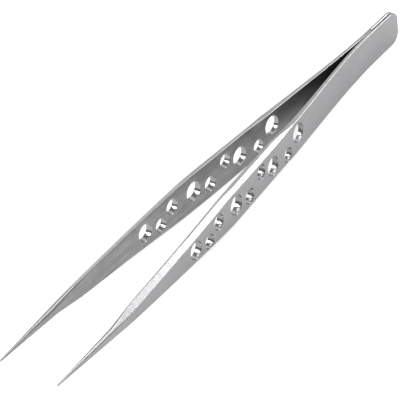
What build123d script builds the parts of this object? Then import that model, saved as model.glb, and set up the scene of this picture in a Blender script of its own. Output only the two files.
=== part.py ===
from build123d import *
import os
from math import atan, cos, hypot, radians, sin

# Straight tweezers with needle tips and a perforated grip.
# Two ground spring steel arms are welded face to face at the heel and bow apart towards the tips.
# X runs along the tweezers with the tips at -X, Y is the way the arms open and Z is up.
# They lie on the long side edges of both arms, with Z = 0 on the flat under the grip.
# All sizes are in millimetres, and places along an arm are measured from its tip.

# Places along an arm
overall_length = 155.0
grind_length = 23.0
kink_place = 63.5
grip_middle = 81.0
spring_place = 103.0
waist_place = 100.5
heel_start = 136.0
weld_length = 12.0

# Width of an arm
tip_width = 0.26
grind_width = 4.0
kink_width = 9.56
grip_width = 9.9
grip_flat_start = 72.0
grip_flat_length = 16.0
waist_width = 8.74
heel_width = 9.45
heel_corner_radius = 3.2

# Gap between the arms
tip_gap = 15.9
kink_gap = 11.24
middle_gap = 8.66
spring_gap = 5.8

# Thickness of an arm
tip_thickness = 0.4
grind_thickness = 1.83
kink_thickness = 1.95
middle_thickness = 1.93
spring_thickness = 1.4
heel_thickness = 0.9

# Flat left on the outer face between the two ground bevels, and the slope of each bevel
tip_face_width = 0.2
grind_face_width = 2.1
kink_face_width = 7.86
grip_face_width = 8.1
blade_bevel_angle = 57.0
grip_bevel_angle = 44.0
bevel_end = 98.7
bevel_runout = 10.5

# Round grind that turns the blade into a needle
round_length = 30.0
round_middle = 14.0
round_middle_radius = 1.3
round_middle_rise = 0.9
round_clearance = 0.02
point_radius = 0.2

# Holes through the grip, as place from the tip, height off the centre line and bore
large_bore = 5.1
medium_bore = 4.05
small_bore = 3.8
front_bore = 4.6
grip_holes = [
    (50.5, 0.0, front_bore),
    (56.0, -1.5, small_bore),
    (60.6, 0.95, medium_bore),
    (68.5, 0.35, large_bore),
    (74.5, -1.3, medium_bore),
    (80.75, 1.55, small_bore),
    (86.2, -0.5, large_bore),
    (93.6, -2.1, small_bore),
    (99.5, 0.65, large_bore),
]
rim_break = 0.12

# Slopes of the side view and outline curves where they meet their neighbours
tip_inward_slope = -0.012
grind_inward_slope = -0.03
kink_widening_slope = 0.04

# How far a drill comes out past each face
drill_overrun = 0.4

tip_x = -overall_length / 2
heel_x = overall_length / 2
weld_x = heel_x - weld_length
middle_z = grip_width / 2
past_everything = 2 * tip_gap
blade_lean = radians(blade_bevel_angle)
grip_lean = radians(grip_bevel_angle)


def along(place):
    """Turn a distance from the tip into X."""
    return tip_x + place


def height_on(curve, x):
    """Give the second coordinate of a curve where it passes one X."""
    crossing = curve.intersect(Axis((x, 0, 0), (0, 1, 0)))
    return crossing.vertices()[0].Y


def slope_on(curve, x):
    """Give the slope of a curve where it passes one X."""
    return height_on(curve, x + 0.5) - height_on(curve, x - 0.5)


def on_blade(at_grind, at_kink, place):
    """Give a size that changes evenly from the end of the tip grind to the kink, and past it."""
    share = (place - grind_length) / (kink_place - grind_length)
    return at_grind + (at_kink - at_grind) * share


def flat_edge(place, width):
    """Give X, Y and half the width of the flat at one place on the outer face."""
    x = along(place)
    return (x, height_on(outer_curve, x), width / 2)


def bevel_plane(side, lean):
    """Give the plane square to a bevel on one side, through the middle of the arm's width."""
    return Plane(origin=(0, 0, middle_z), x_dir=(1, 0, 0), z_dir=(0, sin(lean), -side * cos(lean)))


def bevel_line(flat, side, lean):
    """Lay the edge of the flat on that plane."""
    return [(x, -side * (y * cos(lean) + half * sin(lean))) for x, y, half in flat]


def around_outside(line, side):
    """Close the outline of what a bevel takes away, well clear of the arm."""
    clear = -side * past_everything
    Polyline(line[-1], (line[-1][0], clear), (line[0][0], clear), line[0])


# Side view of the arm on the +Y side
inner_curve = Edge.make_spline(
    [
        (tip_x, tip_gap / 2),
        (along(kink_place), kink_gap / 2),
        (along(grip_middle), middle_gap / 2),
        (along(spring_place), spring_gap / 2),
        (weld_x, 0),
    ],
    tangents=[(1, tip_inward_slope), (1, 0)],
)
grind_corner = (along(grind_length), height_on(inner_curve, along(grind_length)) + grind_thickness)
outer_curve = Edge.make_spline(
    [
        grind_corner,
        (along(kink_place), kink_gap / 2 + kink_thickness),
        (along(grip_middle), middle_gap / 2 + middle_thickness),
        (along(spring_place), spring_gap / 2 + spring_thickness),
        (weld_x, heel_thickness),
    ],
    tangents=[(1, grind_inward_slope), (1, 0)],
)
tip_top = (tip_x, tip_gap / 2 + tip_thickness)

# Upper half of the blank's outline, from the kink over the flat under the grip and the waist to the heel
kink_corner = (along(kink_place), kink_width / 2)
flat_start = (along(grip_flat_start), grip_width / 2)
flat_end = (along(grip_flat_start + grip_flat_length), grip_width / 2)
waist = (along(waist_place), waist_width / 2)
waist_curve = Edge.make_spline([flat_end, waist], tangents=[(1, 0), (1, 0)])
heel_shoulder = (along(heel_start), heel_width / 2)

# Flat on the outer face, which the steep bevel leaves along the blade and the wider one along the grip
blade_flat = [(tip_x, tip_top[1], tip_face_width / 2)]
for place in (grind_length, (grind_length + kink_place) / 2, kink_place, grip_middle):
    blade_flat.append(flat_edge(place, on_blade(grind_face_width, kink_face_width, place)))
grip_flat = [flat_edge(kink_place - bevel_runout, kink_face_width), flat_edge(kink_place, kink_face_width)]
runout_flare = 2 * height_on(waist_curve, along(bevel_end)) - grip_face_width
for share in (0, 0.5, 0.75, 1, 1.25):
    place = bevel_end - bevel_runout * (1 - share)
    grip_flat.append(flat_edge(place, grip_face_width + runout_flare * share**2))

# Round sections of the needle grind, as place from the tip, centre and radius
round_half_width = on_blade(grind_width, kink_width, round_length) / 2
round_inner = height_on(inner_curve, along(round_length))
round_outer = height_on(outer_curve, along(round_length))
round_sections = [
    (0, (tip_gap + tip_thickness) / 2, point_radius),
    (round_middle, height_on(inner_curve, along(round_middle)) + round_middle_rise, round_middle_radius),
    (
        round_length,
        (round_inner + round_outer) / 2,
        hypot(round_half_width, (round_outer - round_inner) / 2) + round_clearance,
    ),
]

os.makedirs("parts", exist_ok=True)

# What the round grind takes away around the needle
with BuildPart() as needle_grind:
    with BuildSketch(Plane.YZ.offset(tip_x - point_radius)):
        with Locations((tip_gap / 2, middle_z)):
            Rectangle(grip_width, grip_width)
    extrude(amount=round_length + point_radius)
    for place, center_y, radius in round_sections:
        with BuildSketch(Plane.YZ.offset(along(place))):
            with Locations((center_y, middle_z)):
                Circle(radius)
    loft(mode=Mode.SUBTRACT)

# What the drills take away: holes square to the arm where they go through it, flared to break both rims
with BuildPart() as grip_drills:
    for place, height, bore in grip_holes:
        inner_y = height_on(inner_curve, along(place))
        outer_y = height_on(outer_curve, along(place))
        slope = atan(slope_on(inner_curve, along(place)) / 2 + slope_on(outer_curve, along(place)) / 2)
        half = (outer_y - inner_y) * cos(slope) / 2
        reach = half + drill_overrun
        center = (along(place), (inner_y + outer_y) / 2, middle_z + height)
        with BuildSketch(Plane(origin=center, x_dir=(0, 0, 1), z_dir=(-cos(slope), -sin(slope), 0))):
            with BuildLine():
                Polyline(
                    (0, -reach),
                    (bore / 2 + rim_break + drill_overrun, -reach),
                    (bore / 2, -half + rim_break),
                    (bore / 2, half - rim_break),
                    (bore / 2 + rim_break + drill_overrun, reach),
                    (0, reach),
                    close=True,
                )
            make_face()
        revolve(axis=Axis(center, (-sin(slope), cos(slope), 0)))

with BuildPart() as arm_left:
    # Bowed strip between the inner and the outer curve
    with BuildSketch():
        with BuildLine():
            add(inner_curve)
            Polyline((weld_x, 0), (heel_x, 0), (heel_x, heel_thickness), (weld_x, heel_thickness))
            add(outer_curve)
            Polyline(grind_corner, tip_top, (tip_x, tip_gap / 2))
        make_face()
    extrude(amount=grip_width)

    # Outline of the blank, seen along Y
    side_plane = Plane(origin=(0, 0, middle_z), x_dir=(1, 0, 0), z_dir=(0, -1, 0))
    with BuildSketch(side_plane) as blank:
        with BuildLine():
            Polyline(
                (tip_x, 0),
                (tip_x, tip_width / 2),
                (along(grind_length), grind_width / 2),
                kink_corner,
            )
            Spline(kink_corner, flat_start, tangents=[(1, kink_widening_slope), (1, 0)])
            Line(flat_start, flat_end)
            add(waist_curve)
            Spline(waist, heel_shoulder, tangents=[(1, 0), (1, 0)])
            Polyline(heel_shoulder, (heel_x, heel_width / 2), (heel_x, 0))
            mirror(about=Plane.XZ)
        make_face()
        fillet(blank.vertices().group_by(Axis.X)[-1], heel_corner_radius)
    extrude(amount=-past_everything, mode=Mode.INTERSECT)

    # Steep bevel along the blade, run on over the tip, and the wider one along the grip
    for side in (1, -1):
        with BuildSketch(bevel_plane(side, blade_lean)):
            with BuildLine():
                line = bevel_line(blade_flat, side, blade_lean)
                Line(line[0], line[1])
                Spline(*line[1:])
                around_outside(line, side)
            make_face()
        extrude(amount=past_everything, both=True, mode=Mode.SUBTRACT)
        with BuildSketch(bevel_plane(side, grip_lean)):
            with BuildLine():
                line = bevel_line(grip_flat, side, grip_lean)
                Spline(*line)
                around_outside(line, side)
            make_face()
        extrude(amount=past_everything, both=True, mode=Mode.SUBTRACT)

    add(needle_grind.part, mode=Mode.SUBTRACT)
    add(grip_drills.part, mode=Mode.SUBTRACT)

arm_left.part.label = "arm_left"
export_step(arm_left.part, "parts/arm_left.step")

# The other arm is the same one turned over about the middle of the gap
with BuildPart() as arm_right:
    mirror(arm_left.part, about=Plane.XZ)

arm_right.part.label = "arm_right"
export_step(arm_right.part, "parts/arm_right.step")
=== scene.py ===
"""Straight tweezers with needle tips and a perforated grip, in ground and satin-brushed spring steel."""

import math

import bmesh
import bpy
import numpy as np
from mathutils import Matrix, Quaternion, Vector


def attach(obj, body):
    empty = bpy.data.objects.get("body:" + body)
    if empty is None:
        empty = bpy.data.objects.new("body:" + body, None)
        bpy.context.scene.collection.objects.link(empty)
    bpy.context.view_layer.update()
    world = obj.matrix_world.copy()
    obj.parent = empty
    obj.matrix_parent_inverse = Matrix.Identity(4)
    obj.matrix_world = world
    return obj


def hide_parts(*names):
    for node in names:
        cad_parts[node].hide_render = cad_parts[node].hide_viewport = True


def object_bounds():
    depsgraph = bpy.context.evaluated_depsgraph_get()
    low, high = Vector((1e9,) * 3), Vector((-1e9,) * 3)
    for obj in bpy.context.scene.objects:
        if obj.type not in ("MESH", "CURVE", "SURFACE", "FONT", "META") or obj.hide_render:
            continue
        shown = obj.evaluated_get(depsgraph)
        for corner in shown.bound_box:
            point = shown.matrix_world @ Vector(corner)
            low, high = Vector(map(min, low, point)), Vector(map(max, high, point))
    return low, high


bl_info = {
    "name": "Straight tweezers",
    "version": (1, 0, 0),
    "blender": (4, 5, 0),
    "location": "View3D > Sidebar > Tweezers",
    "description": "Models two ground steel tweezer arms and lights them for a catalogue picture",
    "category": "Object",
}

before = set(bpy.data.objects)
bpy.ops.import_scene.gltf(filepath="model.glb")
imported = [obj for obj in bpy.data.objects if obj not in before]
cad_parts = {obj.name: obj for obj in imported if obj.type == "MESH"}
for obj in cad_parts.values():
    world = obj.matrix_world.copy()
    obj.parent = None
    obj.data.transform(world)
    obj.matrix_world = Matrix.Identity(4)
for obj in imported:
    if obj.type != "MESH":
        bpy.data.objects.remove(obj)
cad_low, cad_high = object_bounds()

MM = 0.001

# Ends, length, mid-height and greatest width of the solids
TIP_X = cad_low[0]
HEEL_X = cad_high[0]
LENGTH = HEEL_X - TIP_X
MIDDLE_Z = (cad_low[2] + cad_high[2]) / 2
GRIP_WIDTH = cad_high[2] - cad_low[2]

# Bores of the grip's holes
LARGE_BORE = 5.1 * MM
MEDIUM_BORE = 4.05 * MM
SMALL_BORE = 3.8 * MM
FRONT_BORE = 4.6 * MM

# Holes through the grip, as place from the tip, height off the centre line and bore
GRIP_HOLES = (
    (50.5 * MM, 0.0, FRONT_BORE),
    (56.0 * MM, -1.5 * MM, SMALL_BORE),
    (60.6 * MM, 0.95 * MM, MEDIUM_BORE),
    (68.5 * MM, 0.35 * MM, LARGE_BORE),
    (74.5 * MM, -1.3 * MM, MEDIUM_BORE),
    (80.75 * MM, 1.55 * MM, SMALL_BORE),
    (86.2 * MM, -0.5 * MM, LARGE_BORE),
    (93.6 * MM, -2.1 * MM, SMALL_BORE),
    (99.5 * MM, 0.65 * MM, LARGE_BORE),
)

# How far a drill runs past each face, how finely it is turned, and how far its rims roll outwards
DRILL_OVERRUN = 0.12 * MM
DRILL_STEPS = 72
RIM_FLARE = math.radians(60)
RIM_STEPS = 3

# Half the stretch over which the slope of the arm at a hole is taken
SLOPE_REACH = 0.5 * MM

# Sections round the heel's corners, and over the rounding of its end
CORNER_STEPS = 14
END_STEPS = 4

# The most that a rounding takes of the arm's thickness and of half its width
THICKNESS_SHARE = 0.46
WIDTH_SHARE = 0.92

# Length ahead of the weld over which the inner edges turn sharp
SHARPENING_LENGTH = 6 * MM

# Points closer than this are merged on the blank, on a drill and on the drilled arm
BLANK_MERGE = 0.0005 * MM
DRILL_MERGE = 0.001 * MM
ARM_MERGE = 0.0002 * MM

# Fewer faces than this on a drilled arm mean that the cut failed
FEWEST_FACES = 1000

# Finishes of an arm, in the order of its material slots
OUTER, BEVEL, EDGE, INNER, BORE = range(5)

# How far from straight outwards the outer face, the bevels and the side edges may face
OUTER_REACH = math.radians(22)
BEVEL_REACH = math.radians(74)
EDGE_REACH = math.radians(135)

# From the middle of the floor to each lamp, in metres
PANEL_DISTANCE = 1.0


def size(name, description, millimetres):
    """Declare one length, given in millimetres."""
    return bpy.props.FloatProperty(
        name=name, description=description, default=millimetres * MM, unit="LENGTH"
    )


def angle(name, description, degrees):
    """Declare one angle, given in degrees."""
    return bpy.props.FloatProperty(
        name=name, description=description, default=math.radians(degrees), subtype="ANGLE"
    )


def colour(name, description, red, green, blue):
    """Declare one colour."""
    return bpy.props.FloatVectorProperty(
        name=name, description=description, default=(red, green, blue, 1.0),
        size=4, subtype="COLOR", min=0, max=1,
    )


class TweezersArmSettings(bpy.types.PropertyGroup):
    """Sizes of one arm, with places measured from its tip."""

    grind_length: size("Grind length", "From the tip to where the slim needle grind starts", 23.0)
    kink_place: size("Kink place", "Where the blade widens into the grip", 63.5)
    grip_middle: size("Grip middle", "Place of the curves' knot in the grip", 81.0)
    spring_place: size("Spring place", "Place of the curves' knot behind the grip", 103.0)
    waist_place: size("Waist place", "Narrowest place behind the grip", 100.5)
    heel_start: size("Heel start", "Where the heel has its full width", 136.0)
    weld_length: size("Weld length", "How far the two arms lie face to face at the heel", 12.0)
    flat_start: size("Flat start", "Where the straight part of the grip's edge starts", 72.0)
    flat_length: size("Flat length", "Length of the straight part of the grip's edge", 16.0)
    tip_width: size("Tip width", "Width of the arm at its tip", 0.26)
    grind_width: size("Grind width", "Width where the needle grind starts", 4.0)
    kink_width: size("Kink width", "Width at the kink", 9.56)
    waist_width: size("Waist width", "Width at the waist", 8.74)
    heel_width: size("Heel width", "Width at the heel", 9.45)
    heel_corner: size("Heel corner", "Radius of the heel's corners", 3.2)
    tip_gap: size("Tip gap", "Gap between the tips", 15.9)
    kink_gap: size("Kink gap", "Gap between the arms at the kink", 11.24)
    middle_gap: size("Middle gap", "Gap at the middle of the grip", 8.66)
    spring_gap: size("Spring gap", "Gap behind the grip", 5.8)
    tip_thickness: size("Tip thickness", "Thickness of the arm at its tip", 0.4)
    grind_thickness: size("Grind thickness", "Thickness where the needle grind starts", 1.83)
    kink_thickness: size("Kink thickness", "Thickness at the kink", 1.95)
    middle_thickness: size("Middle thickness", "Thickness at the middle of the grip", 1.93)
    spring_thickness: size("Spring thickness", "Thickness behind the grip", 1.4)
    heel_thickness: size("Heel thickness", "Thickness of one arm at the heel", 0.9)
    tip_face: size("Tip face", "Width of the flat between the bevels at the tip", 0.2)
    grind_face: size("Grind face", "Width of that flat where the needle grind starts", 2.1)
    kink_face: size("Kink face", "Width of that flat at the kink", 7.86)
    grip_face: size("Grip face", "Width of that flat along the grip", 8.1)
    blade_bevel: angle("Blade bevel", "Lean of the steep bevels along the blade", 57.0)
    grip_bevel: angle("Grip bevel", "Lean of the wide bevels along the grip", 44.0)
    bevel_end: size("Bevel end", "Where the grip's bevels run out", 98.7)
    bevel_runout: size("Bevel run-out", "Length over which they run out", 10.5)
    edge_radius: size("Edge radius", "Rounding of the long edges", 0.2)
    needle_radius: size("Needle radius", "Rounding of the edges in the middle of the needle", 0.75)
    point_radius: size("Point radius", "Rounding of the edges at the very tip", 0.1)
    needle_peak: size("Needle peak", "Where the needle is ground roundest", 17.0)
    needle_end: size("Needle end", "Where the round grind runs out into the blade", 31.0)
    rim_radius: size("Rim radius", "Rounding of the rims of the holes", 0.12)
    tip_slope: bpy.props.FloatProperty(
        name="Tip slope", description="Slope of the inner face at the tip", default=-0.012
    )
    grind_slope: bpy.props.FloatProperty(
        name="Grind slope", description="Slope of the outer face at the needle grind", default=-0.03
    )
    kink_slope: bpy.props.FloatProperty(
        name="Kink slope", description="How fast the outline still widens at the kink", default=0.04
    )
    station_gap: size("Station gap", "Distance between two sections of the mesh", 0.5)
    blend_length: size("Blend length", "Length over which corners of the outline are ground smooth", 2.5)


class TweezersSteelSettings(bpy.types.PropertyGroup):
    """Colours of the ground, brushed and polished steel."""

    satin: colour("Satin steel", "Colour of the outer faces", 0.55, 0.553, 0.562)
    satin_dark: colour("Satin shade", "Colour of the faint blotches on the outer faces", 0.49, 0.493, 0.503)
    brushed: colour("Brushed steel", "Colour of the inner faces", 0.55, 0.55, 0.56)
    brushed_dark: colour("Brushed shade", "Colour of the inner faces' darker streaks", 0.36, 0.36, 0.37)
    bright: colour("Bright steel", "Colour of the freshly ground bevels", 0.66, 0.665, 0.675)
    bright_dark: colour("Grinding marks", "Colour of the marks across the bevels", 0.55, 0.555, 0.57)
    polished: colour("Polished steel", "Colour of the bores of the holes", 0.58, 0.58, 0.59)


class TweezersStudioSettings(bpy.types.PropertyGroup):
    """Camera, lamps and floor of the catalogue picture."""

    aim: bpy.props.FloatVectorProperty(
        name="Aim", description="Point that the camera looks at",
        default=(-0.01034, 0.00267, 0.00443), subtype="TRANSLATION", unit="LENGTH",
    )
    azimuth: angle("Azimuth", "Turn of the camera round the tweezers, from straight in front", -48.93)
    elevation: angle("Elevation", "Height of the camera above the floor as an angle", 36.66)
    roll: angle("Roll", "Turn of the camera about its own line of sight", -9.07)
    distance: size("Distance", "From the camera to the aim point", 393.98)
    lens: bpy.props.FloatProperty(
        name="Lens", description="Focal length in millimetres", default=148.03, subtype="DISTANCE_CAMERA"
    )
    floor_size: size("Floor size", "Half the side of the floor", 2000.0)
    floor: colour("Floor", "Colour of the floor", 0.8, 0.8, 0.8)
    floor_shade: colour("Floor shade", "Colour that the floor is faintly clouded with", 0.78, 0.78, 0.78)
    world: colour("World", "Colour of the dim room around the table", 0.22, 0.22, 0.22)
    background_lift: bpy.props.FloatProperty(
        name="Background lift", description="White that the floor adds for the camera", default=0.6
    )
    mirrored_lift: bpy.props.FloatProperty(
        name="Mirrored lift", description="White that the floor adds where metal mirrors it", default=0.1
    )


def smooth_curve(knots, start_slope, end_slope):
    """Give the function whose curve runs smoothly through the knots with these slopes at both ends."""
    place, value = np.array(knots).T
    gap = np.diff(place)
    rise = np.diff(value) / gap
    system = np.eye(len(place))
    wanted = np.array([start_slope] + [0.0] * (len(place) - 2) + [end_slope])
    for i in range(1, len(place) - 1):
        system[i, i - 1:i + 2] = 1 / gap[i - 1], 2 / gap[i - 1] + 2 / gap[i], 1 / gap[i]
        wanted[i] = 3 * (rise[i - 1] / gap[i - 1] + rise[i] / gap[i])
    slope = np.linalg.solve(system, wanted)

    def curve(x):
        x = min(max(x, place[0]), place[-1])
        i = min(max(int(np.searchsorted(place, x)) - 1, 0), len(gap) - 1)
        t = (x - place[i]) / gap[i]
        bend = (slope[i] - rise[i]) * (1 - t) - (slope[i + 1] - rise[i]) * t
        return float(value[i] * (1 - t) + value[i + 1] * t + gap[i] * t * (1 - t) * bend)

    return curve


def between(start, end, start_value, end_value, x):
    """Give the value on a straight line, run on past both ends."""
    return start_value + (end_value - start_value) * (x - start) / (end - start)


class ArmShape:
    """Side view, outline, bevels and edge roundings of the arm on the +Y side."""

    def __init__(self, sizes):
        self.sizes = s = sizes
        self.weld = LENGTH - s.weld_length
        self.inner_curve = smooth_curve(
            [
                (0.0, s.tip_gap / 2),
                (s.kink_place, s.kink_gap / 2),
                (s.grip_middle, s.middle_gap / 2),
                (s.spring_place, s.spring_gap / 2),
                (self.weld, 0.0),
            ],
            s.tip_slope, 0.0,
        )
        self.grind_corner = self.inner_curve(s.grind_length) + s.grind_thickness
        self.outer_curve = smooth_curve(
            [
                (s.grind_length, self.grind_corner),
                (s.kink_place, s.kink_gap / 2 + s.kink_thickness),
                (s.grip_middle, s.middle_gap / 2 + s.middle_thickness),
                (s.spring_place, s.spring_gap / 2 + s.spring_thickness),
                (self.weld, s.heel_thickness),
            ],
            s.grind_slope, 0.0,
        )
        kink = (s.kink_place, s.kink_width / 2)
        flat_start = (s.flat_start, GRIP_WIDTH / 2)
        flat_end = (s.flat_start + s.flat_length, GRIP_WIDTH / 2)
        waist = (s.waist_place, s.waist_width / 2)
        heel = (s.heel_start, s.heel_width / 2)
        self.widening = smooth_curve([kink, flat_start], s.kink_slope, 0.0)
        self.narrowing = smooth_curve([flat_end, waist], 0.0, 0.0)
        self.flaring = smooth_curve([waist, heel], 0.0, 0.0)

    def inner(self, x):
        """Give how far the inner face is from the middle of the gap."""
        return self.inner_curve(x)

    def outer(self, x):
        """Give how far the outer face is from the middle of the gap."""
        s = self.sizes
        if x < s.grind_length:
            return between(0.0, s.grind_length, s.tip_gap / 2 + s.tip_thickness, self.grind_corner, x)
        return self.outer_curve(x)

    def half_width(self, x):
        """Give half the width of the blank."""
        s = self.sizes
        if x < s.grind_length:
            return between(0.0, s.grind_length, s.tip_width / 2, s.grind_width / 2, x)
        if x < s.kink_place:
            return between(s.grind_length, s.kink_place, s.grind_width / 2, s.kink_width / 2, x)
        if x < s.flat_start:
            return self.widening(x)
        if x < s.waist_place:
            return self.narrowing(x)
        straight = self.flaring(x)
        past_corner = x - (LENGTH - s.heel_corner)
        if past_corner <= 0:
            return straight
        return straight - s.heel_corner + math.sqrt(max(0.0, s.heel_corner ** 2 - past_corner ** 2))

    def blade_face(self, x):
        """Give half the width of the flat that the blade's bevels leave."""
        s = self.sizes
        if x < s.grind_length:
            return between(0.0, s.grind_length, s.tip_face / 2, s.grind_face / 2, x)
        return between(s.grind_length, s.kink_place, s.grind_face / 2, s.kink_face / 2, x)

    def grip_face(self, x):
        """Give half the width of the flat that the grip's bevels leave."""
        s = self.sizes
        flare = self.half_width(s.bevel_end) - s.grip_face / 2
        share = max(0.0, (x - s.bevel_end + s.bevel_runout) / s.bevel_runout)
        return s.grip_face / 2 + flare * share ** 2

    def blended(self, shape, x):
        """Give a size averaged over a short length, as a grinding belt leaves it."""
        reach = min(self.sizes.blend_length, x, LENGTH - x)
        return (shape(x - reach) + 2 * shape(x) + shape(x + reach)) / 4

    def edge_radius(self, x):
        """Give the rounding of the edges, large on the needle and small elsewhere."""
        s = self.sizes
        if x < s.needle_peak:
            share = x / s.needle_peak
            return s.point_radius + (s.needle_radius - s.point_radius) * share * (2 - share)
        share = min(1.0, (x - s.needle_peak) / (s.needle_end - s.needle_peak))
        return s.needle_radius + (s.edge_radius - s.needle_radius) * share ** 2 * (3 - 2 * share)

    def section(self, x, ring):
        """Give the points of one section: what all the planes leave, with its edges rolled over."""
        s = self.sizes
        inner = self.inner(x)
        outer = self.blended(self.outer, x)
        half_width = self.blended(self.half_width, x) if x < s.flat_start else self.half_width(x)
        radius = min(self.edge_radius(x), THICKNESS_SHARE * (outer - inner), WIDTH_SHARE * half_width)
        from_end = LENGTH - x
        turned_in = radius - math.sqrt(max(0.0, radius ** 2 - max(0.0, radius - from_end) ** 2))
        inset = radius + turned_in
        # The inner edges stay sharp where the two arms are welded, so that no groove shows there
        welded = min(1.0, max(0.0, (x - self.weld + SHARPENING_LENGTH) / SHARPENING_LENGTH))
        core = [
            Vector((inner + radius * (1 - welded), -half_width + inset)),
            Vector((outer - inset, -half_width + inset)),
            Vector((outer - inset, half_width - inset)),
            Vector((inner + radius * (1 - welded), half_width - inset)),
        ]
        bevels = ((s.blade_bevel, self.blended(self.blade_face, x)), (s.grip_bevel, self.grip_face(x)))
        for lean, face in bevels:
            for side in (1, -1):
                normal = Vector((math.cos(lean), side * math.sin(lean)))
                core = cut_away(core, normal, normal.dot(Vector((outer, side * face))) - inset)
        points = []
        for facing, rolled in ring:
            toward = Vector((math.cos(facing), math.sin(facing)))
            corner = max(core, key=toward.dot)
            y = max(corner.x + radius * math.cos(rolled), inner)
            z = MIDDLE_Z + corner.y + radius * math.sin(rolled)
            points.append(Vector((TIP_X + x, y, z)))
        return points


def cut_away(polygon, normal, limit):
    """Cut a convex polygon down to the side of a line that faces away from the normal."""
    kept = []
    for start, end in zip(polygon, polygon[1:] + polygon[:1]):
        before = normal.dot(start) - limit
        after = normal.dot(end) - limit
        if before <= 0:
            kept.append(start)
        if before * after < 0:
            kept.append(start.lerp(end, before / (before - after)))
    return kept


def ring_of_directions(blade_lean, grip_lean):
    """Give the way each point of a section faces, with two points for each flat."""
    nudge = math.radians(0.01)
    flats = (
        (0.0, 3), (grip_lean, 2), (blade_lean, 3), (math.pi / 2, 8),
        (math.pi, 8), (1.5 * math.pi, 3), (2 * math.pi - blade_lean, 2), (2 * math.pi - grip_lean, 3),
    )
    ring = []
    for (facing, steps), (following, _) in zip(flats, flats[1:] + ((2 * math.pi, 0),)):
        ring.append((facing - nudge, facing))
        ring.append((facing + nudge, facing))
        for step in range(1, steps):
            rolled = facing + (following - facing) * step / steps
            ring.append((rolled, rolled))
    return ring


def finish_of(facing):
    """Give the finish of a surface that faces this way in the section."""
    off_outward = abs(math.remainder(facing, 2 * math.pi))
    if off_outward < OUTER_REACH:
        return OUTER
    if off_outward < BEVEL_REACH:
        return BEVEL
    if off_outward < EDGE_REACH:
        return EDGE
    return INNER


def arm_stations(sizes):
    """Give the places of the sections, evenly spaced and closer together round the heel's corners."""
    corner_start = LENGTH - sizes.heel_corner
    count = round(corner_start / sizes.station_gap)
    places = [corner_start * i / count for i in range(count)]
    for i in range(CORNER_STEPS + 1):
        places.append(corner_start + sizes.heel_corner * math.sin(math.pi / 2 * i / CORNER_STEPS))
    for i in range(END_STEPS):
        places.append(LENGTH - sizes.edge_radius * (1 - math.sin(math.pi / 2 * i / END_STEPS)))
    return sorted(set(places))


def new_object(name, bm, materials):
    """Turn a bmesh into an object of the scene with these materials."""
    mesh = bpy.data.meshes.new(name)
    bm.to_mesh(mesh)
    bm.free()
    for material in materials:
        mesh.materials.append(material)
    made = bpy.data.objects.new(name, mesh)
    bpy.context.scene.collection.objects.link(made)
    return made


def arm_blank(shape, materials):
    """Roll a grid round the sections of the arm and close its ends."""
    sizes = shape.sizes
    ring = ring_of_directions(sizes.blade_bevel, sizes.grip_bevel)
    places = arm_stations(sizes)
    sections = [shape.section(place, ring) for place in places]
    along = len(places) - 1
    around = len(ring)
    bm = bmesh.new()
    bmesh.ops.create_grid(bm, x_segments=along, y_segments=around, size=1.0)
    for face in bm.faces:
        point = int((face.calc_center_median().y + 1) / 2 * around)
        facing = (ring[point][1] + (ring[point + 1][1] if point + 1 < around else 2 * math.pi)) / 2
        face.material_index = finish_of(facing)
        face.smooth = True
    for vert in bm.verts:
        station = round((vert.co.x + 1) / 2 * along)
        point = round((vert.co.y + 1) / 2 * around) % around
        vert.co = sections[station][point]
    bmesh.ops.remove_doubles(bm, verts=bm.verts, dist=BLANK_MERGE)
    ends = bmesh.ops.holes_fill(bm, edges=[edge for edge in bm.edges if edge.is_boundary], sides=0)
    for face in ends["faces"]:
        face.material_index = EDGE
    bmesh.ops.recalc_face_normals(bm, faces=bm.faces)
    return new_object("arm_blank", bm, materials)


def drill_profile(half, bore, rim_radius):
    """Give the outline of a drill from its middle axis, rolled outwards past both faces."""
    end = half + DRILL_OVERRUN
    upper = [(bore / 2, half - rim_radius)]
    for step in range(1, RIM_STEPS + 1):
        turn = RIM_FLARE * step / RIM_STEPS
        upper.append((
            bore / 2 + rim_radius * (1 - math.cos(turn)),
            half - rim_radius * (1 - math.sin(turn)),
        ))
    last_radius, last_height = upper[-1]
    upper.append((last_radius + (end - last_height) * math.tan(RIM_FLARE), end))
    upper.append((0.0, end))
    lower = [(radius, -height) for radius, height in reversed(upper)]
    return lower + upper


def grip_drills(shape, material):
    """Turn the nine drills that go square through the arm, joined in one cutter."""
    cutter = bmesh.new()
    for place, height, bore in GRIP_HOLES:
        inner = shape.inner(place)
        outer = shape.outer(place)
        rise = 0.0
        for curve in (shape.inner, shape.outer):
            rise += (curve(place + SLOPE_REACH) - curve(place - SLOPE_REACH)) / 2
        slope = math.atan2(rise, 2 * SLOPE_REACH)
        half = (outer - inner) * math.cos(slope) / 2
        drill = bmesh.new()
        outline = [
            drill.verts.new((radius, across, 0.0))
            for radius, across in drill_profile(half, bore, shape.sizes.rim_radius)
        ]
        edges = [drill.edges.new(pair) for pair in zip(outline, outline[1:])]
        bmesh.ops.spin(
            drill, geom=outline + edges, cent=(0, 0, 0), axis=(0, 1, 0),
            angle=2 * math.pi, steps=DRILL_STEPS, use_merge=True,
        )
        bmesh.ops.remove_doubles(drill, verts=drill.verts, dist=DRILL_MERGE)
        bmesh.ops.recalc_face_normals(drill, faces=drill.faces)
        for face in drill.faces:
            face.smooth = True
        seat = Matrix.Translation((TIP_X + place, (inner + outer) / 2, MIDDLE_Z + height))
        bmesh.ops.transform(drill, matrix=seat @ Matrix.Rotation(slope, 4, "Z"), verts=drill.verts)
        part = bpy.data.meshes.new("drill")
        drill.to_mesh(part)
        drill.free()
        cutter.from_mesh(part)
        bpy.data.meshes.remove(part)
    return new_object("grip_drills", cutter, [material])


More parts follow.
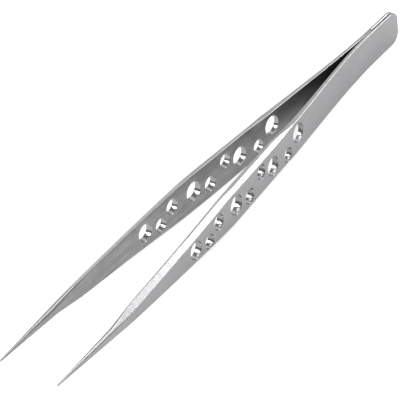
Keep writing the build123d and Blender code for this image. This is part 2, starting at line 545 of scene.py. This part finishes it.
def drilled_mesh(blank, drills):
    """Cut the drills out of the blank and give the mesh that is left."""
    cut = blank.modifiers.new("holes", "BOOLEAN")
    cut.operation = "DIFFERENCE"
    cut.solver = "EXACT"
    cut.object = drills
    cut.material_mode = "TRANSFER"
    evaluated = blank.evaluated_get(bpy.context.evaluated_depsgraph_get())
    mesh = bpy.data.meshes.new_from_object(evaluated)
    for used in (blank, drills):
        bpy.data.objects.remove(used)
    return mesh


def add_arm(name, mesh, node, turned_over):
    """Place one finished arm over its CAD node."""
    bm = bmesh.new()
    bm.from_mesh(mesh)
    if turned_over:
        bmesh.ops.scale(bm, vec=(1, -1, 1), verts=bm.verts)
        bmesh.ops.reverse_faces(bm, faces=bm.faces)
    bmesh.ops.remove_doubles(bm, verts=bm.verts, dist=ARM_MERGE)
    arm = new_object(name, bm, mesh.materials)
    even = arm.modifiers.new("even_shading", "WEIGHTED_NORMAL")
    even.mode = "FACE_AREA"
    even.weight = 100
    even.keep_sharp = True
    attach(arm, "root")
    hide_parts(node)


class MESH_OT_tweezers_arms(bpy.types.Operator):
    """Model the two ground and drilled arms"""

    bl_idname = "mesh.tweezers_arms"
    bl_label = "Build Arms"

    def execute(self, context):
        shape = ArmShape(context.scene.tweezers_arm)
        colours = context.scene.tweezers_steel
        finishes = [make(colours) for make in (satin_steel, bevel_steel, edge_steel, brushed_steel)]
        mesh = drilled_mesh(arm_blank(shape, finishes), grip_drills(shape, bore_steel(colours)))
        if len(mesh.polygons) < FEWEST_FACES:
            raise RuntimeError("The drills left nothing of the arm")
        add_arm("ground_arm_left", mesh, "arm_left", False)
        add_arm("ground_arm_right", mesh, "arm_right", True)
        return {"FINISHED"}


class Wire:
    """An output of a shader tree, so that shader maths reads as an expression."""

    def __init__(self, finish, socket):
        self.finish = finish
        self.socket = socket

    def maths(self, operation, first, second):
        return self.finish.node("ShaderNodeMath", {"operation": operation}, {0: first, 1: second})

    def __add__(self, other):
        return self.maths("ADD", self, other)

    def __radd__(self, other):
        return self.maths("ADD", other, self)

    def __mul__(self, other):
        return self.maths("MULTIPLY", self, other)

    def __rmul__(self, other):
        return self.maths("MULTIPLY", other, self)


class Finish:
    """One node material."""

    def __init__(self, name):
        self.material = bpy.data.materials.new(name)
        self.material.use_nodes = True
        self.tree = self.material.node_tree
        self.tree.nodes.clear()

    def node(self, kind, settings, inputs, output=0):
        """Add a node with its settings and its sockets' values or links, and give one output."""
        made = self.tree.nodes.new(kind)
        for name, value in settings.items():
            if name == "stops":
                set_stops(made.color_ramp, value)
            else:
                setattr(made, name, value)
        for name, value in inputs.items():
            if isinstance(value, Wire):
                self.tree.links.new(value.socket, made.inputs[name])
            else:
                made.inputs[name].default_value = value
        return Wire(self, made.outputs[output]) if made.outputs else None

    def place(self):
        """Give the object coordinates."""
        return self.node("ShaderNodeTexCoord", {}, {}, "Object")

    def noise(self, grain, detail=2.0, roughness=0.5):
        """Give noise whose grain is this long, deep and high."""
        scale = tuple(1 / side for side in grain)
        stretched = self.node("ShaderNodeMapping", {}, {"Vector": self.place(), "Scale": scale})
        return self.node(
            "ShaderNodeTexNoise", {},
            {"Vector": stretched, "Scale": 1.0, "Detail": detail, "Roughness": roughness},
        )

    def ramp(self, value, *stops):
        """Spread a value between grey stops, each a position and a level."""
        return self.node("ShaderNodeValToRGB", {"stops": stops}, {"Fac": value})

    def blend(self, share, first, second):
        """Mix two colours."""
        return self.node("ShaderNodeMix", {"data_type": "RGBA"}, {0: share, 6: first, 7: second}, 2)

    def bump(self, height, depth):
        """Give the normal of a surface with this relief."""
        return self.node("ShaderNodeBump", {}, {"Height": height, "Strength": 1.0, "Distance": depth})

    def steel(self, base, roughness, normal):
        """Finish the material as bare metal."""
        surface = self.node(
            "ShaderNodeBsdfPrincipled", {},
            {"Base Color": base, "Metallic": 1.0, "Roughness": roughness, "Normal": normal},
        )
        self.node("ShaderNodeOutputMaterial", {}, {"Surface": surface})
        return self.material


def set_stops(ramp, stops):
    """Give a colour ramp these grey stops."""
    for i, (position, level) in enumerate(stops):
        stop = ramp.elements[i] if i < 2 else ramp.elements.new(position)
        stop.position = position
        stop.color = (level, level, level, 1.0)


def satin_steel(colours):
    """Outer faces: even satin with fine lengthwise brushing and faint blotches."""
    finish = Finish("satin_steel")
    brushing = finish.noise((4 * MM, 0.05 * MM, 0.05 * MM), 3.0)
    blotches = finish.ramp(finish.noise((9 * MM, 5 * MM, 5 * MM), 4.0, 0.6), (0.35, 0.0), (0.65, 1.0))
    streaks = finish.ramp(finish.noise((25 * MM, 0.5 * MM, 0.5 * MM), 2.0), (0.3, 0.0), (0.7, 1.0))
    share = blotches * 0.6 + streaks * 0.4
    base = finish.blend(share, tuple(colours.satin_dark), tuple(colours.satin))
    roughness = 0.3 + brushing * 0.1 + blotches * 0.03
    return finish.steel(base, roughness, finish.bump(brushing, 0.004 * MM))


def bevel_steel(colours):
    """Bevels: bright, with faint grinding marks across them."""
    finish = Finish("bevel_steel")
    marks = finish.noise((0.25 * MM, 3 * MM, 3 * MM), 3.0, 0.6)
    dim = finish.ramp(finish.noise((1.2 * MM, 8 * MM, 8 * MM), 2.0), (0.3, 1.0), (0.5, 0.0))
    base = finish.blend(dim * 0.8, tuple(colours.bright), tuple(colours.bright_dark))
    roughness = 0.2 + marks * 0.12
    return finish.steel(base, roughness, finish.bump(marks, 0.003 * MM))


def edge_steel(colours):
    """Narrow side strips and heel edge: a little duller, brushed along."""
    finish = Finish("edge_steel")
    brushing = finish.noise((3 * MM, 0.06 * MM, 0.06 * MM), 3.0)
    wear = finish.ramp(finish.noise((2.5 * MM, 1 * MM, 1 * MM), 3.0, 0.6), (0.35, 0.0), (0.6, 1.0))
    base = finish.blend(wear, tuple(colours.satin_dark), tuple(colours.satin))
    roughness = 0.26 + brushing * 0.12
    return finish.steel(base, roughness, finish.bump(brushing, 0.003 * MM))


def brushed_steel(colours):
    """Inner faces: coarser lengthwise brushing with darker streaks."""
    finish = Finish("brushed_steel")
    brushing = finish.noise((8 * MM, 0.08 * MM, 0.08 * MM), 4.0, 0.6)
    streaks = finish.ramp(finish.noise((14 * MM, 1.2 * MM, 0.45 * MM), 3.0, 0.6), (0.38, 0.0), (0.62, 1.0))
    blotches = finish.ramp(finish.noise((5 * MM, 3 * MM, 2 * MM), 3.0, 0.6), (0.35, 0.0), (0.6, 1.0))
    share = streaks * 0.5 + blotches * 0.5
    base = finish.blend(share, tuple(colours.brushed_dark), tuple(colours.brushed))
    roughness = 0.24 + brushing * 0.14
    return finish.steel(base, roughness, finish.bump(brushing, 0.004 * MM))


def bore_steel(colours):
    """Bores: polished, with a trace of the reamer."""
    finish = Finish("bore_steel")
    rings = finish.noise((1 * MM, 0.05 * MM, 1 * MM), 2.0)
    tint = finish.ramp(finish.noise((2 * MM, 0.4 * MM, 2 * MM), 2.0), (0.3, 0.0), (0.7, 1.0))
    base = finish.blend(tint, tuple(colours.satin_dark), tuple(colours.polished))
    roughness = 0.1 + rings * 0.08
    return finish.steel(base, roughness, finish.bump(rings, 0.001 * MM))


def floor_white(studio):
    """White table that also shows white in the metal, and keeps the object's shadow."""
    finish = Finish("floor_white")
    grain = finish.noise((60 * MM, 60 * MM, 60 * MM), 2.0)
    base = finish.blend(grain * 0.1, tuple(studio.floor), tuple(studio.floor_shade))
    camera_ray, glossy_ray, transmission_ray = (
        finish.node("ShaderNodeLightPath", {}, {}, name)
        for name in ("Is Camera Ray", "Is Glossy Ray", "Is Transmission Ray")
    )
    lift = camera_ray * studio.background_lift + (glossy_ray + transmission_ray) * studio.mirrored_lift
    surface = finish.node(
        "ShaderNodeBsdfPrincipled", {},
        {
            "Base Color": base, "Roughness": 0.9, "Specular IOR Level": 0.0,
            "Emission Color": (1.0, 1.0, 1.0, 1.0), "Emission Strength": lift,
        },
    )
    finish.node("ShaderNodeOutputMaterial", {}, {"Surface": surface})
    return finish.material


def add_floor(studio):
    """Lay the floor that the tweezers lie on."""
    bm = bmesh.new()
    bmesh.ops.create_grid(bm, x_segments=1, y_segments=1, size=studio.floor_size)
    new_object("floor", bm, [floor_white(studio)])


def add_camera(context, studio):
    """Put the camera at the photograph's viewing angle."""
    camera = bpy.data.objects.new("camera", bpy.data.cameras.new("camera"))
    camera.data.lens = studio.lens
    camera.data.sensor_width = 36.0
    camera.data.clip_start = 0.01
    camera.data.clip_end = 10.0
    back = Vector((
        math.sin(studio.azimuth) * math.cos(studio.elevation),
        -math.cos(studio.azimuth) * math.cos(studio.elevation),
        math.sin(studio.elevation),
    ))
    camera.rotation_mode = "QUATERNION"
    upright = (-back).to_track_quat("-Z", "Y")
    camera.rotation_quaternion = upright @ Quaternion((0, 0, 1), studio.roll)
    camera.location = Vector(studio.aim) + back * studio.distance
    context.scene.collection.objects.link(camera)
    context.scene.camera = camera


def add_panel(context, name, toward, half_angle, brightness):
    """Hang a square soft light in one direction, as large and bright as the object sees it."""
    side = 2 * PANEL_DISTANCE * math.tan(math.radians(half_angle))
    light = bpy.data.lights.new(name, "AREA")
    light.shape = "SQUARE"
    light.size = side
    light.energy = brightness * math.pi * side ** 2
    lamp = bpy.data.objects.new(name, light)
    direction = Vector(toward).normalized()
    lamp.location = direction * PANEL_DISTANCE
    lamp.rotation_mode = "QUATERNION"
    lamp.rotation_quaternion = direction.to_track_quat("Z", "Y")
    context.scene.collection.objects.link(lamp)


def add_lamps(context, studio):
    """Light the object softly from above, with panels that the bevels, bores and side edges mirror."""
    world = bpy.data.worlds.new("studio")
    world.use_nodes = True
    world.node_tree.nodes["Background"].inputs["Color"].default_value = tuple(studio.world)
    context.scene.world = world
    add_panel(context, "top_panel", toward=(0.0, 0.0, 1.0), half_angle=26.0, brightness=1.5)
    add_panel(context, "bevel_panel", toward=(0.70, -0.43, 0.57), half_angle=15.0, brightness=4.0)
    add_panel(context, "bore_panel", toward=(-0.6, 0.53, 0.6), half_angle=12.0, brightness=4.0)
    add_panel(context, "side_panel", toward=(0.6, 0.53, 0.6), half_angle=16.0, brightness=0.6)


class MESH_OT_tweezers_studio(bpy.types.Operator):
    """Set up the camera, the floor and the lamps"""

    bl_idname = "mesh.tweezers_studio"
    bl_label = "Build Studio"

    def execute(self, context):
        studio = context.scene.tweezers_studio
        add_camera(context, studio)
        add_floor(studio)
        add_lamps(context, studio)
        context.scene.view_settings.view_transform = "Standard"
        return {"FINISHED"}


class VIEW3D_PT_tweezers(bpy.types.Panel):
    """Buttons that build the tweezers and their studio"""

    bl_idname = "VIEW3D_PT_tweezers"
    bl_label = "Tweezers"
    bl_space_type = "VIEW_3D"
    bl_region_type = "UI"
    bl_category = "Tweezers"

    def draw(self, context):
        layout = self.layout
        for settings, operator in (
            (context.scene.tweezers_arm, MESH_OT_tweezers_arms),
            (context.scene.tweezers_steel, None),
            (context.scene.tweezers_studio, MESH_OT_tweezers_studio),
        ):
            box = layout.box()
            for name in settings.bl_rna.properties.keys():
                if name not in {"rna_type", "name"}:
                    box.prop(settings, name)
            if operator:
                box.operator(operator.bl_idname)


GROUPS = {
    "tweezers_arm": TweezersArmSettings,
    "tweezers_steel": TweezersSteelSettings,
    "tweezers_studio": TweezersStudioSettings,
}
CLASSES = (*GROUPS.values(), MESH_OT_tweezers_arms, MESH_OT_tweezers_studio, VIEW3D_PT_tweezers)


def register():
    for cls in CLASSES:
        bpy.utils.register_class(cls)
    for name, group in GROUPS.items():
        setattr(bpy.types.Scene, name, bpy.props.PointerProperty(type=group))


def unregister():
    for name in GROUPS:
        delattr(bpy.types.Scene, name)
    for cls in reversed(CLASSES):
        bpy.utils.unregister_class(cls)


def main():
    register()
    bpy.ops.mesh.tweezers_studio()
    bpy.ops.mesh.tweezers_arms()


if __name__ == "__main__":
    main()
